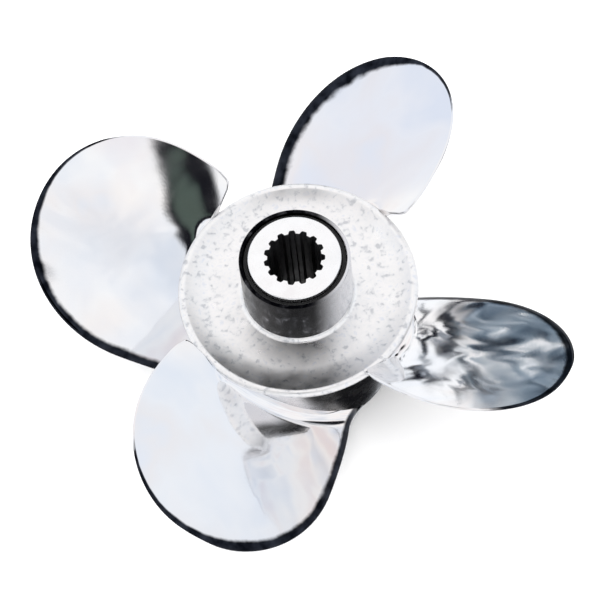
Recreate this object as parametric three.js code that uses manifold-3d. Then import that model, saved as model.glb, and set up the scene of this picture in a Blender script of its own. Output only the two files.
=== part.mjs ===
// Four-blade stainless boat propeller, left-hand, with a rubber-mounted splined sleeve.
// Millimetres, +Z up. +Z is the shaft axis and points aft: the propeller stands on its hub's forward end.
import * as THREE from 'three';
import { mergeVertices } from 'three/addons/utils/BufferGeometryUtils.js';
import Module from 'manifold-3d';

// ---- driving dimensions ----
const TIP_RADIUS = 165.1; // 13 inch propeller
const GAP = 0.3; // between touching pieces
const ROUND_STEPS = 72;
const CUTTER_STEPS = 144;
const CLEAR = 60; // how far a cutting shape runs past the part
const JOIN_TOLERANCE = 1e-4; // corners closer than this are one corner

// hub, heights measured up from its forward end
const HUB_LENGTH = 74.5; // forward end to the aft lip
const FORWARD_RADIUS = 53.8; // barrel outside at the forward end
const BARREL_AFT_RADIUS = 64.0; // barrel outside where the flared ring starts
const BARREL_WALL = 5.0;
const BARREL_EDGE = 1.5; // chamfer on the forward edge, outside
const BARREL_INNER_EDGE = 0.5;
const LIP_RADIUS = 69.5; // flared ring outside
const RING_LENGTH = 13.0;
const RING_WAIST_SHARE = 0.45; // share of the ring's length where it starts to open out
const RING_WAIST_FLARE = 1.4;
const RING_FOOT_WALL = 5.0;
const LIP_WALL = 5.6;
const LIP_ROUND = 2.2; // height of the lip's rounding
const LIP_ARC_STEPS = 6;
const WEB_THICKNESS = 6.0;
const WEB_DEPTH = 4.2; // aft lip down to the web's aft face

const BOSS_RADIUS = 32.0;
const BOSS_BORE = 29.9;
const BOSS_PROUD = 35.5; // boss beyond the aft lip
const BOSS_FORWARD = 6.0; // boss's forward end, above the hub's forward end
const BOSS_EDGE = 0.8;
const SHOULDER_BORE = 27.5; // step that stops the bush going forward
const SHOULDER_HEIGHT = 5.0;

const BUSH_BORE = 27.2;
const BUSH_RADIUS = 29.6;
const BUSH_RECESS = 2.2; // rubber end below the boss end

const SLEEVE_RADIUS = 26.9;
const SLEEVE_PROUD = 1.0; // sleeve beyond the boss end
const SLEEVE_FORWARD = 3.0; // sleeve's forward end, above the hub's forward end
const SLEEVE_EDGE = 1.0;
const SPLINE_TEETH = 15;
const SPLINE_MAJOR = 17.2;
const SPLINE_MINOR = 15.2;
const SPLINE_ROOT_SHARE = 0.42; // share of one tooth pitch at full depth
const SPLINE_CREST_SHARE = 0.30; // share of one tooth pitch at the crest
const SPLINE_OVERRUN = 1.0; // splined cutting shape past each end of the sleeve
const SPLINE_BLANK_STEPS = 24;

const RIB_COUNT = 4;
const RIB_THICKNESS = 7.0;
const RIB_GAP = 0.6; // to the boss and to the barrel
const RIB_FORWARD = 6.0;
const RIB_ANGLE = 28; // degrees counter-clockwise from +X, seen from aft

// blades; lengths below are shares of the tip radius
const BLADE_COUNT = 4;
const FIRST_BLADE_ANGLE = -16.2; // degrees counter-clockwise from +X, seen from aft
const PITCH = 2.78; // advance in one turn, at mid span
const PITCH_GROWTH = 0.499; // share of the pitch gained from root to tip
const ROOT_RADIUS = 0.395;
const LEAD = 0.376; // leading half of the chord, the same width out to LEAD_FULL_TO
const LEAD_FULL_TO = 0.463; // share of the span
const ROOT_TRAIL = 0.393; // trailing half of the chord at the root
const WIDEST_TRAIL = 0.442;
const TRAIL_WIDEST_AT = 0.352; // share of the span
const TRAIL_FULLNESS = 0.46; // under 1 fills out the trailing side near the root
const TIP_ROUNDNESS = 2.1; // exponent of the outline, 2 is an ellipse
const SKEW = -0.037;
const SKEW_GROWTH = -0.022;
const RAKE = 12.2; // degrees, aft
const RAKE_GROWTH = -0.01;
const BLADE_SEAT = 0.283; // height of the blade's middle above the hub's forward end
const SPAN_START = -0.16; // inside the hub, cut off at the barrel
const SPAN_END = 0.998;
// above the lip the trailing root is cut back, straight up and then on a slope
const NOTCH_FOOT = 5.0;
const NOTCH_WIDTH = 5.0;
const NOTCH_HEIGHT = 20.0;
// thicknesses in millimetres
const ROOT_THICKNESS = 9.5;
const TIP_THICKNESS = 2.8;
const EDGE_THICKNESS = 1.8;
const THICKNESS_FALL = 0.8; // how fast the blade thins from root to tip
const SECTION_POWER = 2.4; // higher keeps the section thick nearer its edges
const SECTION_SHOULDER = 0.8;
const SPAN_STEPS = 17;
const CHORD_STEPS = 14;
const TIP_CROWDING = 1.9; // draws the rows together towards the tip
const NORMAL_STEP = 1e-3; // share of span or chord over which the face's slope is taken
const NORMAL_INSET = 0.01; // share of the chord kept clear of each edge for that slope

const STEEL = { color: 0xd4d7da, roughness: 0.12, metalness: 1.0 };
const SLEEVE_STEEL = { color: 0xc4c6c8, roughness: 0.28, metalness: 1.0 };
const RUBBER = { color: 0x151516, roughness: 0.8, metalness: 0.0 };

const wasm = await Module();
wasm.setup();

const LIP_Z = HUB_LENGTH;
const BOSS_TOP = HUB_LENGTH + BOSS_PROUD;
const RING_Z = LIP_Z - RING_LENGTH;
const WEB_TOP = LIP_Z - WEB_DEPTH;
const WEB_BOTTOM = WEB_TOP - WEB_THICKNESS;
const RING_WAIST_Z = RING_Z + RING_LENGTH * RING_WAIST_SHARE;
const RING_WAIST_RADIUS = BARREL_AFT_RADIUS + RING_WAIST_FLARE;

function radians(degrees) {
  return (degrees * Math.PI) / 180;
}

// Drops uv and normals, joins shared corners and turns the faces outwards.
function closed(geometry) {
  const bare = geometry.clone();
  bare.deleteAttribute('uv');
  bare.deleteAttribute('normal');
  const joined = mergeVertices(bare, JOIN_TOLERANCE);
  const place = joined.getAttribute('position');
  const source = Array.from(joined.index.array);
  const kept = [];
  let volume = 0;
  const corner = [new THREE.Vector3(), new THREE.Vector3(), new THREE.Vector3()];
  for (let i = 0; i < source.length; i += 3) {
    const [a, b, c] = source.slice(i, i + 3);
    if (a === b || b === c || c === a) continue;
    [a, b, c].forEach((index, k) => corner[k].fromBufferAttribute(place, index));
    volume += corner[0].dot(corner[1].clone().cross(corner[2]));
    kept.push([a, b, c]);
  }
  const turned = volume < 0 ? kept.map(([a, b, c]) => [a, c, b]) : kept;
  joined.setIndex(turned.flat());
  return joined;
}

function toManifold(geometry) {
  const joined = closed(geometry);
  return new wasm.Manifold(new wasm.Mesh({
    numProp: 3,
    vertProperties: new Float32Array(joined.getAttribute('position').array),
    triVerts: new Uint32Array(joined.index.array),
  }));
}

function fromManifold(manifold) {
  const mesh = manifold.getMesh();
  const geometry = new THREE.BufferGeometry();
  geometry.setAttribute('position', new THREE.BufferAttribute(new Float32Array(mesh.vertProperties), 3));
  geometry.setIndex(Array.from(mesh.triVerts));
  return geometry;
}

// Turns a loop of [radius, height] points about +Z.
function turned(points, steps = ROUND_STEPS) {
  const loop = points.map(([r, z]) => new THREE.Vector2(r, z));
  if (points[0][0] > 0) loop.push(loop[0].clone());
  const geometry = new THREE.LatheGeometry(loop, steps);
  geometry.rotateX(Math.PI / 2);
  return closed(geometry);
}

const group = new THREE.Group();
group.name = 'boat_propeller';

function piece(name, geometry, look) {
  const shown = geometry.toNonIndexed();
  shown.computeVertexNormals();
  const mesh = new THREE.Mesh(shown, new THREE.MeshStandardMaterial(look));
  mesh.name = name;
  group.add(mesh);
}

// Barrel's outside radius at a height.
function barrelRadius(z) {
  return FORWARD_RADIUS + ((BARREL_AFT_RADIUS - FORWARD_RADIUS) * z) / RING_Z;
}

function barrelInside(z) {
  return barrelRadius(z) - BARREL_WALL;
}

// ---- hub ----
const barrelTop = RING_Z - GAP;
piece('hub_barrel', turned([
  [barrelInside(0) + BARREL_INNER_EDGE, 0],
  [barrelRadius(0) - BARREL_EDGE, 0],
  [barrelRadius(BARREL_EDGE), BARREL_EDGE],
  [barrelRadius(barrelTop), barrelTop],
  [barrelInside(barrelTop), barrelTop],
  [barrelInside(BARREL_INNER_EDGE), BARREL_INNER_EDGE],
]), STEEL);

const lipCentre = LIP_RADIUS - LIP_WALL / 2;
const ringInside = BARREL_AFT_RADIUS - RING_FOOT_WALL;
const ringProfile = [
  [ringInside, RING_Z],
  [BARREL_AFT_RADIUS, RING_Z],
  [RING_WAIST_RADIUS, RING_WAIST_Z],
];
for (let i = 0; i <= LIP_ARC_STEPS; i += 1) {
  const angle = (Math.PI * i) / LIP_ARC_STEPS;
  ringProfile.push([
    lipCentre + (LIP_WALL / 2) * Math.cos(angle),
    LIP_Z - LIP_ROUND + LIP_ROUND * Math.sin(angle),
  ]);
}
ringProfile.push([ringInside, WEB_TOP]);
piece('flared_ring', turned(ringProfile), STEEL);

const webRadius = ringInside - GAP;
piece('aft_web', turned([
  [BOSS_RADIUS + GAP, WEB_BOTTOM],
  [webRadius, WEB_BOTTOM],
  [webRadius, WEB_TOP],
  [BOSS_RADIUS + GAP, WEB_TOP],
]), STEEL);

piece('inner_hub', turned([
  [SHOULDER_BORE, BOSS_FORWARD],
  [BOSS_RADIUS - BOSS_EDGE, BOSS_FORWARD],
  [BOSS_RADIUS, BOSS_FORWARD + BOSS_EDGE],
  [BOSS_RADIUS, BOSS_TOP - BOSS_EDGE],
  [BOSS_RADIUS - BOSS_EDGE, BOSS_TOP],
  [BOSS_BORE, BOSS_TOP],
  [BOSS_BORE, BOSS_FORWARD + SHOULDER_HEIGHT],
  [SHOULDER_BORE, BOSS_FORWARD + SHOULDER_HEIGHT],
]), STEEL);

const ribTop = WEB_BOTTOM - GAP;
const ribProfile = new THREE.Shape([
  new THREE.Vector2(BOSS_RADIUS + RIB_GAP, RIB_FORWARD + BOSS_EDGE),
  new THREE.Vector2(barrelInside(RIB_FORWARD) - RIB_GAP, RIB_FORWARD + BOSS_EDGE),
  new THREE.Vector2(barrelInside(ribTop) - RIB_GAP, ribTop),
  new THREE.Vector2(BOSS_RADIUS + RIB_GAP, ribTop),
]);
for (let i = 0; i < RIB_COUNT; i += 1) {
  const rib = new THREE.ExtrudeGeometry(ribProfile, { depth: RIB_THICKNESS, bevelEnabled: false });
  rib.translate(0, 0, -RIB_THICKNESS / 2);
  rib.rotateX(Math.PI / 2);
  rib.rotateZ(radians(RIB_ANGLE + (360 / RIB_COUNT) * i));
  piece(`hub_rib_${i + 1}`, closed(rib), STEEL);
}

// ---- bush and sleeve ----
piece('rubber_bush', turned([
  [BUSH_BORE, BOSS_FORWARD + SHOULDER_HEIGHT + GAP],
  [BUSH_RADIUS, BOSS_FORWARD + SHOULDER_HEIGHT + GAP],
  [BUSH_RADIUS, BOSS_TOP - BUSH_RECESS],
  [BUSH_BORE, BOSS_TOP - BUSH_RECESS],
]), RUBBER);

const sleeveTop = BOSS_TOP + SLEEVE_PROUD;
const splineHole = new THREE.Path();
const toothPitch = (2 * Math.PI) / SPLINE_TEETH;
const flankShare = (1 - SPLINE_ROOT_SHARE - SPLINE_CREST_SHARE) / 2;
for (let tooth = 0; tooth < SPLINE_TEETH; tooth += 1) {
  const corners = [
    [SPLINE_MAJOR, 0],
    [SPLINE_MAJOR, SPLINE_ROOT_SHARE / 2],
    [SPLINE_MAJOR, SPLINE_ROOT_SHARE],
    [SPLINE_MINOR, SPLINE_ROOT_SHARE + flankShare],
    [SPLINE_MINOR, SPLINE_ROOT_SHARE + flankShare + SPLINE_CREST_SHARE],
  ];
  corners.forEach(([radius, share], index) => {
    const angle = toothPitch * (tooth + share);
    const x = radius * Math.cos(angle);
    const y = radius * Math.sin(angle);
    if (tooth === 0 && index === 0) splineHole.moveTo(x, y);
    else splineHole.lineTo(x, y);
  });
}
splineHole.closePath();
const splineBlank = new THREE.Shape();
splineBlank.absarc(0, 0, SLEEVE_RADIUS + CLEAR, 0, 2 * Math.PI);
splineBlank.holes.push(splineHole);
const splined = new THREE.ExtrudeGeometry(splineBlank, {
  depth: sleeveTop - SLEEVE_FORWARD + 2 * SPLINE_OVERRUN,
  bevelEnabled: false,
  curveSegments: SPLINE_BLANK_STEPS,
});
splined.translate(0, 0, SLEEVE_FORWARD - SPLINE_OVERRUN);
const sleeveBody = turned([
  [0, SLEEVE_FORWARD],
  [SLEEVE_RADIUS - SLEEVE_EDGE, SLEEVE_FORWARD],
  [SLEEVE_RADIUS, SLEEVE_FORWARD + SLEEVE_EDGE],
  [SLEEVE_RADIUS, sleeveTop - SLEEVE_EDGE],
  [SLEEVE_RADIUS - SLEEVE_EDGE, sleeveTop],
  [0, sleeveTop],
]);
piece('splined_sleeve', fromManifold(toManifold(sleeveBody).intersect(toManifold(splined))), SLEEVE_STEEL);

// ---- blades ----
function halfChord(rootWidth, widest, widestAt, fullness, share) {
  if (share < widestAt) {
    const rise = Math.sin((Math.PI / 2) * Math.max(share, 0) / widestAt) ** fullness;
    return rootWidth + (widest - rootWidth) * rise;
  }
  const beyond = (share - widestAt) / (1 - widestAt);
  return widest * (1 - beyond ** TIP_ROUNDNESS) ** (1 / TIP_ROUNDNESS);
}

// Point on the pressure face. span: 0 root to 1 tip; chord: 0 trailing edge to 1 leading edge.
function facePoint(span, chord) {
  const radius = ROOT_RADIUS + (1 - ROOT_RADIUS) * span;
  const lead = halfChord(LEAD, LEAD, LEAD_FULL_TO, 1, span);
  const trail = halfChord(ROOT_TRAIL, WIDEST_TRAIL, TRAIL_WIDEST_AT, TRAIL_FULLNESS, span);
  const middle = SKEW * span + SKEW_GROWTH * span * span;
  const across = middle - trail * (1 - chord) + lead * chord;
  const advance = PITCH * (1 + PITCH_GROWTH * (span - 0.5));
  const helix = Math.atan2(advance, 2 * Math.PI * radius);
  const angle = (across * Math.cos(helix)) / radius;
  const rise = Math.tan(radians(RAKE)) * (radius - ROOT_RADIUS) + RAKE_GROWTH * span * span;
  return new THREE.Vector3(
    radius * Math.cos(angle),
    radius * Math.sin(angle),
    BLADE_SEAT + rise - across * Math.sin(helix),
  ).multiplyScalar(TIP_RADIUS);
}

// Unit normal of the pressure face, pointing forward through the blade.
function forwardNormal(span, chord) {
  const step = NORMAL_STEP / 2;
  const alongSpan = facePoint(span + step, chord).sub(facePoint(span - step, chord));
  const alongChord = facePoint(span, chord + NORMAL_STEP).sub(facePoint(span, chord - NORMAL_STEP));
  const normal = alongSpan.cross(alongChord).normalize();
  return normal.z > 0 ? normal.negate() : normal;
}

function bladeThickness(span, chord) {
  const middle = ROOT_THICKNESS + (TIP_THICKNESS - ROOT_THICKNESS) * Math.max(span, 0) ** THICKNESS_FALL;
  const fromMiddle = Math.abs(2 * chord - 1);
  const section = (1 - fromMiddle ** SECTION_POWER) ** SECTION_SHOULDER;
  return EDGE_THICKNESS + (middle - EDGE_THICKNESS) * section;
}

function bladeGeometry() {
  const positions = [];
  const row = CHORD_STEPS + 1;
  for (const side of [0, 1]) {
    for (let i = 0; i <= SPAN_STEPS; i += 1) {
      const share = 1 - (1 - i / SPAN_STEPS) ** TIP_CROWDING;
      const span = SPAN_START + (SPAN_END - SPAN_START) * share;
      for (let j = 0; j <= CHORD_STEPS; j += 1) {
        const chord = 0.5 - 0.5 * Math.cos((Math.PI * j) / CHORD_STEPS);
        const point = facePoint(span, chord);
        const inset = Math.min(Math.max(chord, NORMAL_INSET), 1 - NORMAL_INSET);
        const normal = forwardNormal(span, inset);
        point.addScaledVector(normal, side * bladeThickness(span, chord));
        positions.push(point.x, point.y, point.z);
      }
    }
  }
  const forwardSide = (SPAN_STEPS + 1) * row;
  const index = [];
  function quad(a, b, c, d) {
    index.push(a, b, c, a, c, d);
  }
  for (let i = 0; i < SPAN_STEPS; i += 1) {
    for (let j = 0; j < CHORD_STEPS; j += 1) {
      const a = i * row + j;
      quad(a, a + row, a + row + 1, a + 1);
      quad(forwardSide + a, forwardSide + a + 1, forwardSide + a + row + 1, forwardSide + a + row);
    }
    for (const [j, trailing] of [[0, true], [CHORD_STEPS, false]]) {
      const a = i * row + j;
      const b = forwardSide + a;
      if (trailing) quad(a, b, b + row, a + row);
      else quad(a, a + row, b + row, b);
    }
  }
  for (const [i, root] of [[0, true], [SPAN_STEPS, false]]) {
    for (let j = 0; j < CHORD_STEPS; j += 1) {
      const a = i * row + j;
      const b = forwardSide + a;
      if (root) quad(a, a + 1, b + 1, b);
      else quad(a, b, b + 1, a + 1);
    }
  }
  const geometry = new THREE.BufferGeometry();
  geometry.setAttribute('position', new THREE.Float32BufferAttribute(positions, 3));
  geometry.setIndex(index);
  return geometry;
}

// Everything the blades must stay clear of: the hub's outside, carried on past both of its ends.
const hubCutter = toManifold(turned([
  [0, -CLEAR],
  [barrelRadius(0) + GAP, -CLEAR],
  [barrelRadius(0) + GAP, 0],
  [barrelRadius(barrelTop) + GAP, barrelTop],
  [RING_WAIST_RADIUS + GAP, RING_WAIST_Z],
  [LIP_RADIUS + GAP, LIP_Z - LIP_ROUND],
  [LIP_RADIUS + GAP, LIP_Z + NOTCH_FOOT],
  [LIP_RADIUS + GAP + NOTCH_WIDTH, LIP_Z + NOTCH_HEIGHT],
  [LIP_RADIUS + GAP + NOTCH_WIDTH, LIP_Z + CLEAR],
  [0, LIP_Z + CLEAR],
], CUTTER_STEPS));

for (let i = 0; i < BLADE_COUNT; i += 1) {
  const blank = bladeGeometry();
  blank.rotateZ(radians(FIRST_BLADE_ANGLE + (360 / BLADE_COUNT) * i));
  piece(`blade_${i + 1}`, fromManifold(toManifold(blank).subtract(hubCutter)), STEEL);
}

export default group;
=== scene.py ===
import math

import bpy
from mathutils import Matrix, Vector


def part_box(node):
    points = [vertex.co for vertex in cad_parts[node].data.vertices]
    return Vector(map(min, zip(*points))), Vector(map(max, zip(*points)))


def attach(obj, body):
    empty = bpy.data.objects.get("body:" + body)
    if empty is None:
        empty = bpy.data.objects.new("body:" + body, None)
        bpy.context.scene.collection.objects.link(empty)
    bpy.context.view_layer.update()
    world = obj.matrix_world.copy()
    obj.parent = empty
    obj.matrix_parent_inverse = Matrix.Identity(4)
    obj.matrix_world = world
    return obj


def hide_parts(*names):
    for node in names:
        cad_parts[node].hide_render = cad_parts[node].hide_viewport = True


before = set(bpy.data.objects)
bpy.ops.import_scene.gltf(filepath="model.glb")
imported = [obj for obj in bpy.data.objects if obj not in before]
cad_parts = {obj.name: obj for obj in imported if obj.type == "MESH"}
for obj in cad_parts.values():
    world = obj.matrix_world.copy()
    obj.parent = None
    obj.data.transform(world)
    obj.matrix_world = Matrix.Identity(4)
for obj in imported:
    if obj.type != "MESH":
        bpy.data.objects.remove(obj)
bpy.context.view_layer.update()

MM = 0.001

# ---- sizes shared with the frame ----
TIP_RADIUS = 165.0 * MM  # the frame's blades end 0.4 mm further out
LIP_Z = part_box("flared_ring")[1].z
LIP_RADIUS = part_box("flared_ring")[1].x
RING_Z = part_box("flared_ring")[0].z
BOSS_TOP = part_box("inner_hub")[1].z
BOSS_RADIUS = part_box("inner_hub")[1].x
BOSS_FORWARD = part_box("inner_hub")[0].z
WEB_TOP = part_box("aft_web")[1].z
WEB_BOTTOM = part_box("aft_web")[0].z
BUSH_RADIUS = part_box("rubber_bush")[1].x
BUSH_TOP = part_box("rubber_bush")[1].z
BUSH_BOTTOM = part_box("rubber_bush")[0].z
SLEEVE_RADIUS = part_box("splined_sleeve")[1].x
SLEEVE_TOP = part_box("splined_sleeve")[1].z
SLEEVE_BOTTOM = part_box("splined_sleeve")[0].z
FORWARD_RADIUS = 53.8 * MM
BARREL_AFT_RADIUS = 64.0 * MM
BARREL_WALL = 5.0 * MM
BARREL_STEPS = 10
BARREL_EDGE = 2.0 * MM
BARREL_MOUTH_EDGE = 0.6 * MM
LIP_WALL = 5.6 * MM
LIP_ROUND = 2.2 * MM
WEB_FLAT_RADIUS = 50 * MM
BUSH_BORE = 27.2 * MM
BOSS_BORE = 29.9 * MM
SHOULDER_BORE = 27.5 * MM
SHOULDER_HEIGHT = 5.0 * MM


def barrel_radius(z):
    """Outside radius of the hub at a height: straight taper, then the flare up to the lip."""
    if z <= RING_Z:
        return FORWARD_RADIUS + (BARREL_AFT_RADIUS - FORWARD_RADIUS) * max(z, 0) / RING_Z
    reach = min((z - RING_Z) / (LIP_Z - LIP_ROUND - RING_Z), 1.0)
    return BARREL_AFT_RADIUS + (LIP_RADIUS - BARREL_AFT_RADIUS) * reach * reach * (3 - 2 * reach)


# ---- materials ----
def new_material(name):
    material = bpy.data.materials.new(name)
    material.use_nodes = True
    tree = material.node_tree
    return material, tree, tree.nodes["Principled BSDF"]


def add_noise(tree, scale, detail, stretch=(1, 1, 1), distortion=0.0):
    """Noise in the object's own metres, stretched along an axis where stretch is under 1."""
    place = tree.nodes.new("ShaderNodeTexCoord")
    mapping = tree.nodes.new("ShaderNodeMapping")
    mapping.inputs["Scale"].default_value = stretch
    noise = tree.nodes.new("ShaderNodeTexNoise")
    noise.inputs["Scale"].default_value = scale
    noise.inputs["Detail"].default_value = detail
    noise.inputs["Distortion"].default_value = distortion
    tree.links.new(place.outputs["Object"], mapping.inputs["Vector"])
    tree.links.new(mapping.outputs["Vector"], noise.inputs["Vector"])
    return noise


def add_ramp(tree, source, stops):
    ramp = tree.nodes.new("ShaderNodeValToRGB")
    elements = ramp.color_ramp.elements
    while len(elements) < len(stops):
        elements.new(0.5)
    for element, (place, colour) in zip(elements, stops):
        element.position = place
        element.color = (*colour, 1)
    tree.links.new(source.outputs["Fac"], ramp.inputs["Fac"])
    return ramp


NOISE_LOW = 0.3  # noise values run mostly between these two
NOISE_HIGH = 0.7


def add_range(tree, source, low, high):
    node = tree.nodes.new("ShaderNodeMapRange")
    node.inputs["From Min"].default_value = NOISE_LOW
    node.inputs["From Max"].default_value = NOISE_HIGH
    node.inputs["To Min"].default_value = low
    node.inputs["To Max"].default_value = high
    tree.links.new(source.outputs["Fac"], node.inputs["Value"])
    return node


def add_bump(tree, height, strength, distance, before=None):
    bump = tree.nodes.new("ShaderNodeBump")
    bump.inputs["Strength"].default_value = strength
    bump.inputs["Distance"].default_value = distance
    tree.links.new(height, bump.inputs["Height"])
    if before:
        tree.links.new(before.outputs["Normal"], bump.inputs["Normal"])
    return bump


PALE_TINTS = [
    (0.30, (0.78, 0.81, 0.86)),
    (0.48, (0.86, 0.86, 0.87)),
    (0.62, (0.86, 0.83, 0.82)),
    (0.75, (0.80, 0.83, 0.88)),
]


def polished_steel(name, rough_low, rough_high, wave):
    """Mirror-polished cast stainless: faint tints, buffing haze, slow waviness from hand polishing."""
    material, tree, shader = new_material(name)
    shader.inputs["Metallic"].default_value = 1.0
    cloud = add_noise(tree, 16, 3, distortion=0.4)
    colour = add_ramp(tree, cloud, PALE_TINTS)
    tree.links.new(colour.outputs["Color"], shader.inputs["Base Color"])
    haze = add_noise(tree, 60, 4)
    roughness = add_range(tree, haze, rough_low, rough_high)
    tree.links.new(roughness.outputs["Result"], shader.inputs["Roughness"])
    slow = add_noise(tree, 22, 1.5, distortion=0.6)
    fine = add_noise(tree, 900, 2, stretch=(1, 1, 0.08))
    waves = add_bump(tree, slow.outputs["Fac"], 1.0, wave)
    scratches = add_bump(tree, fine.outputs["Fac"], 0.25, 0.02 * MM, waves)
    tree.links.new(scratches.outputs["Normal"], shader.inputs["Normal"])
    return material


BLADE_STEEL = polished_steel("blade_steel", 0.03, 0.09, 0.6 * MM)


def paint_edge_reflection(material):
    """Painted dark reflection along the blade's rounded edges: the face colour gives way to it where rim is
    under 1.
    """
    tree = material.node_tree
    shader = tree.nodes["Principled BSDF"]
    face = shader.inputs["Base Color"].links[0].from_socket
    rim = tree.nodes.new("ShaderNodeAttribute")
    rim.attribute_name = "rim"
    uneven = add_noise(tree, 130, 3)
    # near-black colour of the painted dark edge reflection
    edge = add_ramp(tree, uneven, [(0.35, (0.004, 0.005, 0.008)), (0.7, (0.03, 0.034, 0.045))])
    limit = tree.nodes.new("ShaderNodeMath")
    limit.operation = "MULTIPLY_ADD"
    limit.inputs[1].default_value = 0.5
    tree.links.new(uneven.outputs["Fac"], limit.inputs[0])
    tree.links.new(rim.outputs["Fac"], limit.inputs[2])
    inside = tree.nodes.new("ShaderNodeMapRange")
    inside.interpolation_type = "SMOOTHSTEP"
    inside.inputs["From Min"].default_value = 1.0
    inside.inputs["From Max"].default_value = 1.5
    tree.links.new(limit.outputs["Value"], inside.inputs["Value"])
    mix = tree.nodes.new("ShaderNodeMix")
    mix.data_type = "RGBA"
    tree.links.new(inside.outputs["Result"], mix.inputs["Factor"])
    tree.links.new(edge.outputs["Color"], mix.inputs["A"])
    tree.links.new(face, mix.inputs["B"])
    tree.links.new(mix.outputs["Result"], shader.inputs["Base Color"])


# the blades' edges get a painted dark reflection
paint_edge_reflection(BLADE_STEEL)
RIB_STEEL = polished_steel("hub_steel", 0.08, 0.2, 0.5 * MM)


def satin_steel():
    """Aft face of the hub: finely blasted and then lightly buffed, so it mirrors nothing clearly."""
    material, tree, shader = new_material("face_steel")
    shader.inputs["Metallic"].default_value = 1.0
    mottle = add_noise(tree, 260, 6, distortion=0.3)
    colour = add_ramp(tree, mottle, [
        (0.32, (0.62, 0.63, 0.65)),
        (0.43, (0.88, 0.88, 0.88)),
        (0.58, (0.93, 0.92, 0.91)),
        (0.72, (0.80, 0.82, 0.86)),
    ])
    tree.links.new(colour.outputs["Color"], shader.inputs["Base Color"])
    haze = add_noise(tree, 70, 4)
    roughness = add_range(tree, haze, 0.26, 0.42)
    tree.links.new(roughness.outputs["Result"], shader.inputs["Roughness"])
    bump = add_bump(tree, mottle.outputs["Fac"], 0.35, 0.08 * MM)
    tree.links.new(bump.outputs["Normal"], shader.inputs["Normal"])
    return material


FACE_STEEL = satin_steel()


def painted_shade_steel(name, shade_stops, lit_side, lit_from, lit_to):
    """Sides of the hub: painted dark reflection and shade in streaks along the shaft, fading to plain steel
    on one lit side.
    """
    material, tree, shader = new_material(name)
    shader.inputs["Metallic"].default_value = 1.0
    streaks = add_noise(tree, 170, 6, stretch=(1, 1, 0.6), distortion=0.5)
    # painted dark reflection and shade, streaked along the shaft
    painted_shade = add_ramp(tree, streaks, shade_stops)
    place = tree.nodes.new("ShaderNodeTexCoord")
    towards = tree.nodes.new("ShaderNodeVectorMath")
    towards.operation = "DOT_PRODUCT"
    towards.inputs[1].default_value = lit_side
    tree.links.new(place.outputs["Object"], towards.inputs[0])
    # the painted darkness fades out towards the lit side
    lit_share = tree.nodes.new("ShaderNodeMapRange")
    lit_share.interpolation_type = "SMOOTHSTEP"
    lit_share.inputs["From Min"].default_value = lit_from
    lit_share.inputs["From Max"].default_value = lit_to
    tree.links.new(towards.outputs["Value"], lit_share.inputs["Value"])
    colour = tree.nodes.new("ShaderNodeMix")
    colour.data_type = "RGBA"
    colour.inputs["B"].default_value = (0.72, 0.72, 0.74, 1)
    tree.links.new(lit_share.outputs["Result"], colour.inputs["Factor"])
    tree.links.new(painted_shade.outputs["Color"], colour.inputs["A"])
    tree.links.new(colour.outputs["Result"], shader.inputs["Base Color"])
    roughness = add_range(tree, streaks, 0.35, 0.14)
    tree.links.new(roughness.outputs["Result"], shader.inputs["Roughness"])
    bump = add_bump(tree, streaks.outputs["Fac"], 0.4, 0.1 * MM)
    tree.links.new(bump.outputs["Normal"], shader.inputs["Normal"])
    return material


# near-black painted dark reflection and shade
PAINTED_SHADE_STOPS = [
    (0.46, (0.002, 0.002, 0.003)),
    (0.55, (0.010, 0.010, 0.012)),
    (0.63, (0.045, 0.045, 0.05)),
    (0.76, (0.24, 0.24, 0.26)),
]
# boss and barrel: painted dark reflection and shade, clear on one lit side each
BOSS_STEEL = painted_shade_steel("boss_steel", PAINTED_SHADE_STOPS, (1, 0, 0), 10 * MM, 30 * MM)
BARREL_LIT_SIDE = (-0.68, 0.73, 0)
BARREL_STEEL = painted_shade_steel("barrel_steel", PAINTED_SHADE_STOPS, BARREL_LIT_SIDE, -52 * MM, -44 * MM)


def turned_steel(name, colour, rough_low, rough_high):
    """Lathe-turned steel: fine rings round the shaft axis."""
    material, tree, shader = new_material(name)
    shader.inputs["Metallic"].default_value = 1.0
    place = tree.nodes.new("ShaderNodeTexCoord")
    rings = tree.nodes.new("ShaderNodeTexWave")
    rings.wave_type = "RINGS"
    rings.rings_direction = "Z"
    rings.inputs["Scale"].default_value = 700
    rings.inputs["Distortion"].default_value = 0.4
    tree.links.new(place.outputs["Object"], rings.inputs["Vector"])
    cloud = add_noise(tree, 120, 4)
    tone = add_ramp(tree, cloud, [(0.3, tuple(c * 0.93 for c in colour)), (0.7, colour)])
    tree.links.new(tone.outputs["Color"], shader.inputs["Base Color"])
    roughness = add_range(tree, cloud, rough_low, rough_high)
    tree.links.new(roughness.outputs["Result"], shader.inputs["Roughness"])
    bump = add_bump(tree, rings.outputs["Fac"], 0.25, 0.06 * MM)
    tree.links.new(bump.outputs["Normal"], shader.inputs["Normal"])
    return material


SLEEVE_STEEL = turned_steel("sleeve_steel", (0.95, 0.95, 0.95), 0.18, 0.34)


def greased_steel():
    """Spline teeth: dark steel under a film of old grease."""
    material, tree, shader = new_material("spline_steel")
    shader.inputs["Metallic"].default_value = 0.2
    film = add_noise(tree, 160, 4)
    tone = add_ramp(tree, film, [(0.35, (0.004, 0.004, 0.005)), (0.7, (0.018, 0.018, 0.02))])
    tree.links.new(tone.outputs["Color"], shader.inputs["Base Color"])
    roughness = add_range(tree, film, 0.35, 0.6)
    tree.links.new(roughness.outputs["Result"], shader.inputs["Roughness"])
    bump = add_bump(tree, film.outputs["Fac"], 0.3, 0.2 * MM)
    tree.links.new(bump.outputs["Normal"], shader.inputs["Normal"])
    return material


SPLINE_STEEL = greased_steel()


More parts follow.
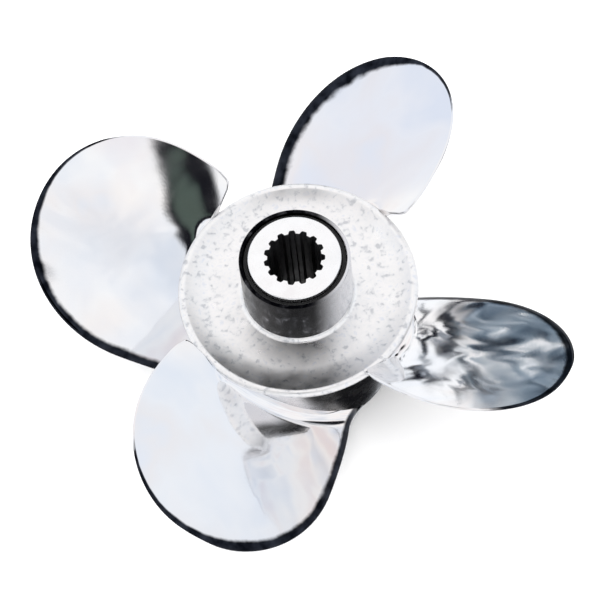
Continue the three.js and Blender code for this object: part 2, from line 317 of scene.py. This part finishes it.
def moulded_rubber():
    material, tree, shader = new_material("bush_rubber")
    grain = add_noise(tree, 900, 3)
    tone = add_ramp(tree, grain, [(0.3, (0.006, 0.006, 0.007)), (0.7, (0.018, 0.018, 0.019))])
    tree.links.new(tone.outputs["Color"], shader.inputs["Base Color"])
    roughness = add_range(tree, grain, 0.6, 0.85)
    tree.links.new(roughness.outputs["Result"], shader.inputs["Roughness"])
    bump = add_bump(tree, grain.outputs["Fac"], 0.4, 0.1 * MM)
    tree.links.new(bump.outputs["Normal"], shader.inputs["Normal"])
    return material


BUSH_RUBBER = moulded_rubber()


# ---- mesh helpers ----
def make_piece(name, vertices, faces, materials, body, stands_for, face_materials=None):
    mesh = bpy.data.meshes.new(name)
    mesh.from_pydata(vertices, [], faces)
    for material in materials:
        mesh.materials.append(material)
    if face_materials:
        for face, index in zip(mesh.polygons, face_materials):
            face.material_index = index
    for face in mesh.polygons:
        face.use_smooth = True
    mesh.update()
    piece = bpy.data.objects.new(name, mesh)
    bpy.context.scene.collection.objects.link(piece)
    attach(piece, body)
    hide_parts(*stands_for)
    return piece


LATHE_STEPS = 180


def lathe(name, loop, material, body, stands_for, sharp_angle=32):
    """Turns a closed loop of (radius, height) points, listed anticlockwise, about +Z."""
    vertices = []
    for step in range(LATHE_STEPS):
        angle = 2 * math.pi * step / LATHE_STEPS
        for radius, height in loop:
            vertices.append((radius * math.cos(angle), radius * math.sin(angle), height))
    count = len(loop)
    faces = []
    for step in range(LATHE_STEPS):
        near, far = step * count, (step + 1) % LATHE_STEPS * count
        for i in range(count):
            j = (i + 1) % count
            faces.append((near + i, far + i, far + j, near + j))
    piece = make_piece(name, vertices, faces, [material], body, stands_for)
    piece.data.set_sharp_from_angle(angle=math.radians(sharp_angle))
    return piece


def arc(centre, radius, start, end, steps=8):
    """Points on an arc in the (radius, height) plane, angles in degrees."""
    points = []
    for i in range(steps + 1):
        angle = math.radians(start + (end - start) * i / steps)
        points.append((centre[0] + radius * math.cos(angle), centre[1] + radius * math.sin(angle)))
    return points


# ---- hub ----
def barrel_loop():
    heights = [RING_Z * i / BARREL_STEPS for i in range(1, BARREL_STEPS + 1)]
    foot = arc((FORWARD_RADIUS - BARREL_EDGE, BARREL_EDGE), BARREL_EDGE, -90, 0)
    outside = [(barrel_radius(z), z) for z in heights]
    inside = [(barrel_radius(z) - BARREL_WALL, z) for z in reversed(heights)]
    mouth_centre = (FORWARD_RADIUS - BARREL_WALL + BARREL_MOUTH_EDGE, BARREL_MOUTH_EDGE)
    mouth = arc(mouth_centre, BARREL_MOUTH_EDGE, 180, 270, 4)
    return foot + outside + inside + mouth


BEAD_END = 125  # degrees round the lip's bead where the dished face leaves it
BEAD_STEPS = 16
RING_FOOT = BARREL_AFT_RADIUS - BARREL_WALL


def lip_bead():
    """Aft lip: half an ellipse, from its outside over the top to where the dished face begins."""
    points = []
    for i in range(BEAD_STEPS + 1):
        angle = math.radians(BEAD_END * i / BEAD_STEPS)
        across = LIP_RADIUS - LIP_WALL / 2 + LIP_WALL / 2 * math.cos(angle)
        points.append((across, LIP_Z - LIP_ROUND + LIP_ROUND * math.sin(angle)))
    return points


def face_height(radius):
    """Aft face: flat round the boss, then rising in a shallow dish to the lip."""
    rim_radius, rim_height = lip_bead()[-1]
    share = max(radius - WEB_FLAT_RADIUS, 0) / (rim_radius - WEB_FLAT_RADIUS)
    return WEB_TOP + (rim_height - WEB_TOP) * share * share


def ring_loop():
    steps = 12
    outer = []
    for i in range(steps):
        z = RING_Z + (LIP_Z - LIP_ROUND - RING_Z) * i / steps
        outer.append((barrel_radius(z), z))
    bead = lip_bead()
    rim_radius = bead[-1][0]
    face = []
    for i in range(1, steps + 1):
        radius = rim_radius + (RING_FOOT - rim_radius) * i / steps
        face.append((radius, face_height(radius)))
    return outer + bead + face + [(RING_FOOT, RING_Z)]


lathe("hub_barrel_skin", barrel_loop(), BARREL_STEEL, "propeller", ["hub_barrel"])
lathe("flared_ring_skin", ring_loop(), FACE_STEEL, "propeller", ["flared_ring"])


def web_loop():
    """Plate between the boss and the ring, with a fillet up to the boss."""
    fillet = 2.5 * MM
    steps = 10
    loop = [(BOSS_RADIUS, WEB_BOTTOM), (RING_FOOT, WEB_BOTTOM)]
    for i in range(steps + 1):
        radius = RING_FOOT + (WEB_FLAT_RADIUS - RING_FOOT) * i / steps
        loop.append((radius, face_height(radius)))
    loop += arc((BOSS_RADIUS + fillet, WEB_TOP + fillet), fillet, -90, -180)
    return loop


lathe("aft_web_skin", web_loop(), FACE_STEEL, "propeller", ["aft_web"], 50)


def boss_loop():
    edge = 1.0 * MM
    chamfer_width, chamfer_height = 0.4 * MM, 0.5 * MM
    step = BOSS_FORWARD + SHOULDER_HEIGHT
    loop = [(SHOULDER_BORE, BOSS_FORWARD)]
    loop += arc((BOSS_RADIUS - edge, BOSS_FORWARD + edge), edge, -90, 0, 4)
    loop += arc((BOSS_RADIUS - edge, BOSS_TOP - edge), edge, 0, 90, 6)
    loop += [(BOSS_BORE + chamfer_width, BOSS_TOP), (BOSS_BORE, BOSS_TOP - chamfer_height)]
    loop += [(BOSS_BORE, step), (SHOULDER_BORE, step)]
    return loop


lathe("boss_tube_skin", boss_loop(), BOSS_STEEL, "propeller", ["inner_hub"])


def bush_loop():
    """Moulded ring with a shallow groove in its aft end."""
    edge = 0.7 * MM
    middle = (BUSH_BORE + BUSH_RADIUS) / 2
    loop = [(BUSH_BORE, BUSH_BOTTOM), (BUSH_RADIUS, BUSH_BOTTOM)]
    loop += arc((BUSH_RADIUS - edge, BUSH_TOP - edge), edge, 0, 90, 4)
    loop += arc((middle, BUSH_TOP), edge, 0, -180, 6)
    loop += arc((BUSH_BORE + edge, BUSH_TOP - edge), edge, 90, 180, 4)
    return loop


lathe("rubber_bush_ring", bush_loop(), BUSH_RUBBER, "propeller", ["rubber_bush"])


# ---- splined sleeve ----
TEETH = 15
SPLINE_MAJOR = 17.2 * MM
SPLINE_MINOR = 15.2 * MM
SPLINE_FLANK_FROM = 0.38  # share of the half pitch
SPLINE_FLANK = 0.30
MOUTH_CHAMFER = 0.4 * MM
POINTS_PER_TOOTH = 12


def spline_radius(share):
    """Bore radius round one tooth pitch: root, rounded flank, crest."""
    flank = abs(((share + 0.5) % 1.0) - 0.5) * 2
    ease = min(max((flank - SPLINE_FLANK_FROM) / SPLINE_FLANK, 0), 1)
    return SPLINE_MAJOR + (SPLINE_MINOR - SPLINE_MAJOR) * ease * ease * (3 - 2 * ease)


def make_sleeve():
    count = TEETH * POINTS_PER_TOOTH
    edge = 1.0 * MM
    outside = arc((SLEEVE_RADIUS - edge, SLEEVE_BOTTOM + edge), edge, -90, 0, 4)
    outside += arc((SLEEVE_RADIUS - edge, SLEEVE_TOP - edge), edge, 0, 90, 6)
    levels = outside + [(None, SLEEVE_TOP)]
    levels += [(None, SLEEVE_TOP - MOUTH_CHAMFER), (None, SLEEVE_BOTTOM + MOUTH_CHAMFER)]
    levels += [(None, SLEEVE_BOTTOM)]
    vertices = []
    for step in range(count):
        angle = 2 * math.pi * step / count
        for radius, height in levels:
            r = spline_radius(step / POINTS_PER_TOOTH) if radius is None else radius
            if radius is None and height in (SLEEVE_TOP, SLEEVE_BOTTOM):
                r += MOUTH_CHAMFER
            vertices.append((r * math.cos(angle), r * math.sin(angle), height))
    faces, indices = [], []
    size = len(levels)
    for step in range(count):
        near, far = step * size, (step + 1) % count * size
        for i in range(size):
            j = (i + 1) % size
            faces.append((near + i, far + i, far + j, near + j))
            inside = levels[i][0] is None and levels[j][0] is None
            indices.append(1 if inside else 0)
    piece = make_piece(
        "splined_sleeve_turned", vertices, faces, [SLEEVE_STEEL, SPLINE_STEEL],
        "sleeve", ["splined_sleeve"], indices,
    )
    piece.data.set_sharp_from_angle(angle=math.radians(35))


make_sleeve()

# ---- blades; lengths are shares of the tip radius unless a unit is given ----
BLADE_COUNT = 4
RIB_COUNT = 4
FIRST_BLADE_ANGLE = -16.2  # degrees counter-clockwise from +X, seen from aft
PITCH = 2.78  # advance in one turn, at mid span
PITCH_GROWTH = 0.499  # share of the pitch gained from root to tip
ROOT_RADIUS = 0.395
LEAD = 0.376  # leading half of the chord, the same width out to LEAD_FULL_TO
LEAD_FULL_TO = 0.463  # share of the span
ROOT_TRAIL = 0.393  # trailing half of the chord at the root
WIDEST_TRAIL = 0.442
TRAIL_WIDEST_AT = 0.352  # share of the span
TRAIL_FULLNESS = 0.46  # under 1 fills out the trailing side near the root
TIP_ROUNDNESS = 2.1  # exponent of the outline, 2 is an ellipse
SKEW = -0.037
SKEW_GROWTH = -0.022
RAKE = 12.2  # degrees, aft
RAKE_GROWTH = -0.01
BLADE_SEAT = 0.283  # height of the blade's middle above the hub's forward end

ROOT_THICKNESS = 9.0 * MM
TIP_THICKNESS = 2.6 * MM
THICKNESS_FALL = 0.8  # how fast the blade thins from root to tip
SECTION_POWER = 2.4  # higher keeps the section thick nearer its edges
SECTION_SHOULDER = 0.8
EDGE_THICKNESS = 1.7 * MM
MOST_EDGE_SHARE = 0.3  # of the chord
TIP_THINS_AT = 0.955  # share of the span
LEAST_TIP_SHARE = 0.02  # of the thickness, at the very tip

EDGE_ROLL_WIDTH = 6.0 * MM  # the leading edge curls forward over this width
EDGE_ROLL_DEPTH = 0.8 * MM
MOST_ROLL_SHARE = 0.25  # of the chord
BACK_ROLL_POWER = 6  # how late the back follows the curl

FILLET = 9.0 * MM
FILLET_FADE = 16.0 * MM  # the fillet shrinks to nothing over this height below the lip
ROOT_DEPTH = 2.5 * MM  # how deep the blade is set into the hub wall
ROOT_CLEARANCE = 0.8 * MM  # lowest part of the fillet above the hub's forward end
SKIN_OVERLAP = 0.15 * MM  # the fillet starts this far under the hub's skin
HUB_FIT_ROUNDS = 4  # passes that settle a point's radius on the hub's taper

# above the lip the trailing root is cut back on a steep slope
NOTCH_FOOT = 5 * MM
NOTCH_SLOPE = 3.0
NOTCH_ROUND = 1.5 * MM

# the painted dark reflection along the blade edges
LEADING_EDGE_WIDTH = 6.0 * MM
BROAD_EDGE_BLADE = 2
BROAD_EDGE_WIDTH = 11.0 * MM
TRAILING_EDGE_WIDTH = 3.0 * MM  # at the tip, fading out towards the root
TRAILING_EDGE_FROM = 0.3  # share of the span below which it narrows no more
TRAILING_EDGE_BLEND = 25 * MM  # either side of mid chord
TRAILING_CAP_RIM = 4  # keeps the trailing edge's rounding bright, free of the painted dark reflection, near the root

FACE_POINTS = 40
CAP_POINTS = 5
SECTION_POINTS = 2 * (FACE_POINTS + 1 + CAP_POINTS)
FILLET_ROWS = 10
SPAN_ROWS = 72
TIP_CROWDING = 2.2  # draws the rows together towards the tip
TIP_END = 0.9999

EASED_OUT = 30  # widths from the limit where the easing no longer shows


def soft_limit(value, limit, width, upper):
    """Keeps a value under (or over) a limit, easing into it over a width."""
    gap = (limit - value) / width if upper else (value - limit) / width
    eased = width * (gap if gap > EASED_OUT else math.log1p(math.exp(gap)))
    return limit - eased if upper else limit + eased


def half_chord(root, widest, widest_at, fullness, span):
    if span < widest_at:
        rise = math.sin(math.pi / 2 * max(span, 0) / widest_at) ** fullness
        return root + (widest - root) * rise
    beyond = min((span - widest_at) / (1 - widest_at), 1)
    return widest * (1 - beyond ** TIP_ROUNDNESS) ** (1 / TIP_ROUNDNESS)


def span_share(radius):
    """0 at the root and 1 at the tip."""
    return (radius / TIP_RADIUS - ROOT_RADIUS) / (1 - ROOT_RADIUS)


def chord_middle(span):
    return (SKEW * span + SKEW_GROWTH * span * span) * TIP_RADIUS


def helix_slope(radius):
    span = span_share(radius)
    advance = PITCH * TIP_RADIUS * (1 + PITCH_GROWTH * (span - 0.5))
    return math.atan2(advance, 2 * math.pi * radius)


def mid_height(radius):
    """Height of the pressure face at mid chord."""
    span = span_share(radius)
    rake = math.tan(math.radians(RAKE)) * (radius - ROOT_RADIUS * TIP_RADIUS)
    return (BLADE_SEAT + RAKE_GROWTH * span * span) * TIP_RADIUS + rake


def chord_limits(radius, off_hub):
    """Trailing and leading ends of the chord, along the helix; the trailing root is cut back to the lip."""
    span = min(span_share(radius), TIP_END)
    middle = chord_middle(span)
    trail = half_chord(ROOT_TRAIL, WIDEST_TRAIL, TRAIL_WIDEST_AT, TRAIL_FULLNESS, span) * TIP_RADIUS
    lead = half_chord(LEAD, LEAD, LEAD_FULL_TO, 1, span) * TIP_RADIUS
    highest = LIP_Z + NOTCH_FOOT + NOTCH_SLOPE * off_hub
    longest = (highest - mid_height(radius)) / math.sin(helix_slope(radius)) + middle
    trail = soft_limit(trail, longest, NOTCH_ROUND, True)
    return middle - trail, middle + lead


def helix_point(radius, across):
    """Point of the pressure face at a radius and a distance along the helix, before the blade is placed."""
    slope = helix_slope(radius)
    angle = across * math.cos(slope) / radius
    height = mid_height(radius) - across * math.sin(slope)
    return Vector((radius * math.cos(angle), radius * math.sin(angle), height))


def helix_frame(radius, across):
    """Unit vectors along the chord towards the leading edge, and forward through the blade."""
    step = 0.2 * MM
    chordwise = helix_point(radius, across + step) - helix_point(radius, across - step)
    spanwise = helix_point(radius + step, across) - helix_point(radius - step, across)
    normal = spanwise.cross(chordwise).normalized()
    if normal.z > 0:
        normal.negate()
    return chordwise.normalized(), normal


def rim_share(radius, across, off_hub, leading_width):
    """Distance from the blade's outline over the width of its painted dark edge reflection there."""
    trail, lead = chord_limits(radius, off_hub)
    span = min(span_share(radius), TIP_END)
    middle = chord_middle(span)
    leading = across > middle
    along = max(lead - across if leading else across - trail, 0)
    widest, widest_at = (LEAD, LEAD_FULL_TO) if leading else (WIDEST_TRAIL, TRAIL_WIDEST_AT)
    ratio = min(abs(across - middle) / (widest * TIP_RADIUS), 1)
    outline_span = widest_at + (1 - widest_at) * (1 - ratio ** TIP_ROUNDNESS) ** (1 / TIP_ROUNDNESS)
    outward = max(outline_span - span, 0) * (1 - ROOT_RADIUS) * TIP_RADIUS
    inward = along * outward / math.hypot(along, outward) if along and outward else 0
    lean = min(max(0.5 + (across - middle) / (TRAILING_EDGE_BLEND * 2), 0), 1)
    trailing_width = TRAILING_EDGE_WIDTH * max(span, TRAILING_EDGE_FROM) ** 4
    return inward / (trailing_width + (leading_width - trailing_width) * lean)


def section(radius, off_hub, leading_width):
    """One blade section as (across, depth, outward across, outward depth, rim); depth runs forward."""
    trail, lead = chord_limits(radius, off_hub)
    span = min(span_share(radius), TIP_END)
    chord = lead - trail
    past = max(span - TIP_THINS_AT, 0) / (1 - TIP_THINS_AT)
    fade = math.sqrt(max(1 - past ** 2, LEAST_TIP_SHARE ** 2))
    edge = min(EDGE_THICKNESS * fade, chord * MOST_EDGE_SHARE)
    centre = ROOT_THICKNESS + (TIP_THICKNESS - ROOT_THICKNESS) * max(span, 0) ** THICKNESS_FALL
    centre = max(centre * fade, edge)
    roll_width = min(EDGE_ROLL_WIDTH, chord * MOST_ROLL_SHARE)
    roll_depth = EDGE_ROLL_DEPTH * fade * roll_width / EDGE_ROLL_WIDTH

    def roll(across):
        """How far the pressure face curls forward near the leading edge."""
        near = max(1 - (lead - across) / roll_width, 0)
        return roll_depth * near * near

    def thickness(share):
        return edge + (centre - edge) * (1 - abs(2 * share - 1) ** SECTION_POWER) ** SECTION_SHOULDER

    inset = edge / 2
    stations = []
    for i in range(FACE_POINTS + 1):
        share = 0.5 - 0.5 * math.cos(math.pi * i / FACE_POINTS)
        across = trail + inset + (chord - 2 * inset) * share
        stations.append((share, across, rim_share(radius, across, off_hub, leading_width)))
    points = [(across, roll(across), 0.0, -1.0, rim) for _, across, rim in stations]
    for i in range(1, CAP_POINTS + 1):
        angle = math.pi * i / (CAP_POINTS + 1)
        out = (math.sin(angle), -math.cos(angle))
        points.append((lead - inset + inset * out[0], roll_depth + inset + inset * out[1], *out, 0.0))
    for share, across, rim in reversed(stations):
        depth = roll_depth * share ** BACK_ROLL_POWER + thickness(share)
        points.append((across, depth, 0.0, 1.0, rim))
    for i in range(1, CAP_POINTS + 1):
        angle = math.pi * i / (CAP_POINTS + 1)
        out = (-math.sin(angle), math.cos(angle))
        rim = TRAILING_CAP_RIM * (1 - span)
        points.append((trail + inset + inset * out[0], inset + inset * out[1], *out, rim))
    return points


def blade_point(radius_share, rise_off_hub, point, spread, in_fillet):
    """Places one section point; in the fillet it sits a set distance off the hub's surface."""
    across, depth, out_across, out_depth, _ = point
    radius = barrel_radius(BLADE_SEAT * TIP_RADIUS) + rise_off_hub
    for _ in range(HUB_FIT_ROUNDS):
        base = helix_point(radius, across)
        hub = barrel_radius(base.z)
        radius = hub + rise_off_hub if in_fillet else hub + (TIP_RADIUS - hub) * radius_share
    chordwise, forward = helix_frame(radius, across)
    place = helix_point(radius, across) + forward * depth
    below_lip = min(max((LIP_Z - place.z) / FILLET_FADE, 0), 1)
    flare = spread * below_lip * below_lip * (3 - 2 * below_lip)
    place += (chordwise * out_across + forward * out_depth) * flare
    if in_fillet:
        place.z = soft_limit(place.z, ROOT_CLEARANCE, ROOT_CLEARANCE, False)
        flat = math.hypot(place.x, place.y)
        wanted = barrel_radius(place.z) + rise_off_hub * (below_lip if rise_off_hub < 0 else 1)
        place.x *= wanted / flat
        place.y *= wanted / flat
    return place


def cap_faces(first):
    """Closes one row of section points with narrow strips from the pressure face to the back."""
    back = FACE_POINTS + 1 + CAP_POINTS
    strips = []
    for i in range(FACE_POINTS):
        opposite = back + FACE_POINTS - i
        strips.append((i, i + 1, opposite - 1, opposite))
    strips.append(tuple(range(FACE_POINTS, back + 1)))
    strips.append((*range(back + FACE_POINTS, SECTION_POINTS), 0))
    return [tuple(first + i for i in strip) for strip in strips]


def make_blade(number):
    hub = barrel_radius(BLADE_SEAT * TIP_RADIUS)
    reach = TIP_RADIUS - hub
    rows = [(-ROOT_DEPTH, -ROOT_DEPTH / reach, FILLET, True)]
    for i in range(FILLET_ROWS + 1):
        angle = math.pi / 2 * i / FILLET_ROWS
        rise = FILLET * (1 - math.cos(angle)) - SKIN_OVERLAP
        spread = FILLET * (1 - math.sin(angle))
        rows.append((rise, rise / reach, spread, True))
    start = FILLET / reach
    for i in range(1, SPAN_ROWS + 1):
        share = 1 - (1 - i / SPAN_ROWS) ** TIP_CROWDING
        share = start + (TIP_END - start) * share
        rows.append((share * reach, share, 0.0, False))
    turn = Matrix.Rotation(math.radians(FIRST_BLADE_ANGLE + 360 / BLADE_COUNT * (number - 1)), 3, "Z")
    # width of the painted dark edge reflection; blade 2 gets a broader one
    leading_width = BROAD_EDGE_WIDTH if number == BROAD_EDGE_BLADE else LEADING_EDGE_WIDTH
    vertices, rims = [], []
    for rise, share, spread, in_fillet in rows:
        radius = hub + rise
        for point in section(radius, rise, leading_width):
            vertices.append(turn @ blade_point(share, rise, point, spread, in_fillet))
            rims.append(point[4])
    faces = cap_faces(0)
    for row in range(len(rows) - 1):
        low, high = row * SECTION_POINTS, (row + 1) * SECTION_POINTS
        for i in range(SECTION_POINTS):
            j = (i + 1) % SECTION_POINTS
            faces.append((low + i, high + i, high + j, low + j))
    faces += [strip[::-1] for strip in cap_faces((len(rows) - 1) * SECTION_POINTS)]
    name = f"blade_{number}"
    blade = make_piece(
        name + "_polished", vertices, faces, [BLADE_STEEL], "propeller", [name],
    )
    blade.data.attributes.new("rim", "FLOAT", "POINT").data.foreach_set("value", rims)


for number in range(1, BLADE_COUNT + 1):
    make_blade(number)

for number in range(1, RIB_COUNT + 1):
    for rib_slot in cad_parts[f"hub_rib_{number}"].material_slots:
        rib_slot.material = RIB_STEEL

# ---- camera ----
TILT = math.radians(27.7)  # between the view and the shaft axis
LEAN = math.radians(96.8)  # which way the shaft axis leans in the view, counter-clockwise from right
CAMERA_DISTANCE = 13.938 * TIP_RADIUS
SENSOR_WIDTH = 36  # mm, like the lens
LENS = 242.4
BOSS_ASIDE = -0.0092  # boss end from the middle of the view, as shares of its width
BOSS_ABOVE = 0.0693

shaft = Vector((math.sin(TILT) * math.cos(LEAN), math.sin(TILT) * math.sin(LEAN), math.cos(TILT)))
to_camera = Vector((0, 0, 1)).rotation_difference(shaft).to_matrix()
right, up, back = to_camera.row
camera_data = bpy.data.cameras.new("camera")
camera_data.sensor_width = SENSOR_WIDTH
camera_data.lens = LENS
camera = bpy.data.objects.new("camera", camera_data)
bpy.context.scene.collection.objects.link(camera)
view_width = SENSOR_WIDTH / LENS * CAMERA_DISTANCE
boss_end = Vector((0, 0, BOSS_TOP))
place = boss_end + back * CAMERA_DISTANCE - (right * BOSS_ASIDE + up * BOSS_ABOVE) * view_width
camera.matrix_world = Matrix.Translation(place) @ to_camera.transposed().to_4x4()
bpy.context.scene.camera = camera

# ---- plain pale floor and soft studio light ----
def plain_material(name, colour, roughness):
    material, tree, shader = new_material(name)
    shader.inputs["Base Color"].default_value = (*colour, 1)
    shader.inputs["Roughness"].default_value = roughness
    return material


HALF_FLOOR = 6.0
floor_mesh = bpy.data.meshes.new("floor")
floor_corners = [
    (-HALF_FLOOR, -HALF_FLOOR, 0),
    (HALF_FLOOR, -HALF_FLOOR, 0),
    (HALF_FLOOR, HALF_FLOOR, 0),
    (-HALF_FLOOR, HALF_FLOOR, 0),
]
floor_mesh.from_pydata(floor_corners, [], [(0, 1, 2, 3)])
floor_mesh.materials.append(plain_material("floor_white", (0.9, 0.9, 0.9), 0.9))
floor = bpy.data.objects.new("floor", floor_mesh)
bpy.context.scene.collection.objects.link(floor)
floor.visible_glossy = False  # the steel reflects the studio, not the floor's lit centre


# What the steel reflects: a pale studio with a few dark and tinted areas, fixed in the room.
# Directions are (azimuth, elevation) in degrees; azimuth 0 is +Y and 90 is +X.
STUDIO_TINTS = [
    (0.34, (0.84, 0.88, 0.95)),
    (0.44, (1.00, 1.02, 1.06)),
    (0.54, (1.10, 1.10, 1.10)),
    (0.66, (1.00, 0.95, 0.97)),
]
DARK = (0.012, 0.012, 0.016)
SLATE_STREAKS = [
    (0.38, (0.006, 0.008, 0.016)),
    (0.44, (0.09, 0.13, 0.18)),
    (0.51, (0.26, 0.33, 0.40)),
    (0.56, (0.50, 0.56, 0.62)),
    (0.60, (1.12, 1.13, 1.15)),
]
SLATE_PLACE = (-1.5, 2, 9, 3)  # azimuth, elevation, angular radius, soft edge
SLATE_GRAIN = (30, 25, 2.8)  # noise scale, lean in degrees, stretch
SPOTS = [
    (0.43, (0.006, 0.006, 0.012)),
    (0.46, (0.30, 0.33, 0.38)),
    (0.49, (1.12, 1.13, 1.15)),
]
SPOTS_PLACE = (0, -13, 11, 3)
SPOTS_GRAIN = (19, 80, 2.0)
STUDIO_PATCHES = [
    # azimuth, elevation, angular radius, soft edge, colour
    (187, 71, 10, 3, DARK),
    (86, 5, 12, 3, DARK),
    (90, -77, 14, 4, DARK),
    (32, -7, 8, 2, DARK),
    (-146, 37.5, 7.5, 1.5, DARK),
    (-155, 37, 6, 1.5, DARK),
    (-150, 38.5, 3.5, 2, (0.09, 0.12, 0.105)),
    (74, 22, 12, 8, (0.95, 0.99, 1.05)),
    (-54, 14, 14, 8, (0.92, 0.95, 1.03)),
]
EDGE_WANDER = 1.3  # how far a patch's edge wanders, as a multiple of its radius


def direction(azimuth, elevation):
    azimuth, elevation = math.radians(azimuth), math.radians(elevation)
    flat = math.cos(elevation)
    return Vector((flat * math.sin(azimuth), flat * math.cos(azimuth), math.sin(elevation)))


def patch_mask(tree, unit, wander, azimuth, elevation, radius, soft):
    """1 inside a round area of the studio and 0 outside, with a soft, slightly wandering edge."""
    towards = tree.nodes.new("ShaderNodeVectorMath")
    towards.operation = "DOT_PRODUCT"
    towards.inputs[1].default_value = direction(azimuth, elevation)
    tree.links.new(unit, towards.inputs[0])
    spread = math.cos(math.radians(radius)) - math.cos(math.radians(radius * EDGE_WANDER))
    uneven = tree.nodes.new("ShaderNodeMath")
    uneven.operation = "MULTIPLY_ADD"
    uneven.inputs[1].default_value = spread
    tree.links.new(wander, uneven.inputs[0])
    tree.links.new(towards.outputs["Value"], uneven.inputs[2])
    inside = tree.nodes.new("ShaderNodeMapRange")
    inside.interpolation_type = "SMOOTHSTEP"
    outer, inner = math.radians(radius + soft), math.radians(max(radius - soft, 0))
    inside.inputs["From Min"].default_value = math.cos(outer) + spread / 2
    inside.inputs["From Max"].default_value = math.cos(inner) + spread / 2
    tree.links.new(uneven.outputs["Value"], inside.inputs["Value"])
    return inside.outputs["Result"]


def stretched_noise(tree, unit, scale, lean, stretch):
    """Streaks near azimuth 0, leaning from upright towards +X by an angle in degrees."""
    turn = tree.nodes.new("ShaderNodeMapping")
    turn.vector_type = "TEXTURE"
    turn.inputs["Rotation"].default_value = (0, math.radians(lean), 0)
    turn.inputs["Scale"].default_value = (1, 1, stretch)
    tree.links.new(unit, turn.inputs["Vector"])
    streaks = tree.nodes.new("ShaderNodeTexNoise")
    streaks.inputs["Scale"].default_value = scale
    streaks.inputs["Detail"].default_value = 4
    streaks.inputs["Distortion"].default_value = 0.6
    tree.links.new(turn.outputs["Vector"], streaks.inputs["Vector"])
    return streaks


def paint_over(tree, under, over, mask):
    """Mixes a colour, or a colour socket, over another through a mask."""
    mix = tree.nodes.new("ShaderNodeMix")
    mix.data_type = "RGBA"
    tree.links.new(under, mix.inputs["A"])
    if isinstance(over, tuple):
        mix.inputs["B"].default_value = (*over, 1)
    else:
        tree.links.new(over, mix.inputs["B"])
    tree.links.new(mask, mix.inputs["Factor"])
    return mix.outputs["Result"]


def studio_material():
    material = bpy.data.materials.new("studio_surroundings")
    material.use_nodes = True
    tree = material.node_tree
    tree.nodes.clear()
    place = tree.nodes.new("ShaderNodeTexCoord")
    normalised = tree.nodes.new("ShaderNodeVectorMath")
    normalised.operation = "NORMALIZE"
    tree.links.new(place.outputs["Object"], normalised.inputs[0])
    unit = normalised.outputs["Vector"]
    broad = tree.nodes.new("ShaderNodeTexNoise")
    broad.inputs["Scale"].default_value = 3.5
    broad.inputs["Detail"].default_value = 3
    tree.links.new(unit, broad.inputs["Vector"])
    colour = add_ramp(tree, broad, STUDIO_TINTS).outputs["Color"]
    wander = tree.nodes.new("ShaderNodeTexNoise")
    wander.inputs["Scale"].default_value = 7
    wander.inputs["Detail"].default_value = 3
    tree.links.new(unit, wander.inputs["Vector"])
    for azimuth, elevation, radius, soft, tone in STUDIO_PATCHES:
        mask = patch_mask(tree, unit, wander.outputs["Fac"], azimuth, elevation, radius, soft)
        colour = paint_over(tree, colour, tone, mask)
    slate = add_ramp(tree, stretched_noise(tree, unit, *SLATE_GRAIN), SLATE_STREAKS)
    spots = add_ramp(tree, stretched_noise(tree, unit, *SPOTS_GRAIN), SPOTS)
    for ramp, area in ((spots, SPOTS_PLACE), (slate, SLATE_PLACE)):
        mask = patch_mask(tree, unit, wander.outputs["Fac"], *area)
        colour = paint_over(tree, colour, ramp.outputs["Color"], mask)
    emission = tree.nodes.new("ShaderNodeEmission")
    tree.links.new(colour, emission.inputs["Color"])
    output = tree.nodes.new("ShaderNodeOutputMaterial")
    tree.links.new(emission.outputs["Emission"], output.inputs["Surface"])
    material.cycles.emission_sampling = "NONE"
    return material


DOME_RADIUS = 4.0
WORLD_STRENGTH = 2.0
bpy.ops.mesh.primitive_uv_sphere_add(segments=64, ring_count=32, radius=DOME_RADIUS, location=(0, 0, 0))
dome = bpy.context.object
dome.name = "studio_dome"
dome.data.materials.append(studio_material())
dome.visible_camera = False
dome.visible_diffuse = False
dome.visible_shadow = False
dome.visible_transmission = False
dome.visible_volume_scatter = False

world = bpy.data.worlds.new("studio")
bpy.context.scene.world = world
world.use_nodes = True
world.node_tree.nodes["Background"].inputs["Color"].default_value = (1, 1, 1, 1)
world.node_tree.nodes["Background"].inputs["Strength"].default_value = WORLD_STRENGTH
bpy.context.scene.view_settings.view_transform = "Standard"
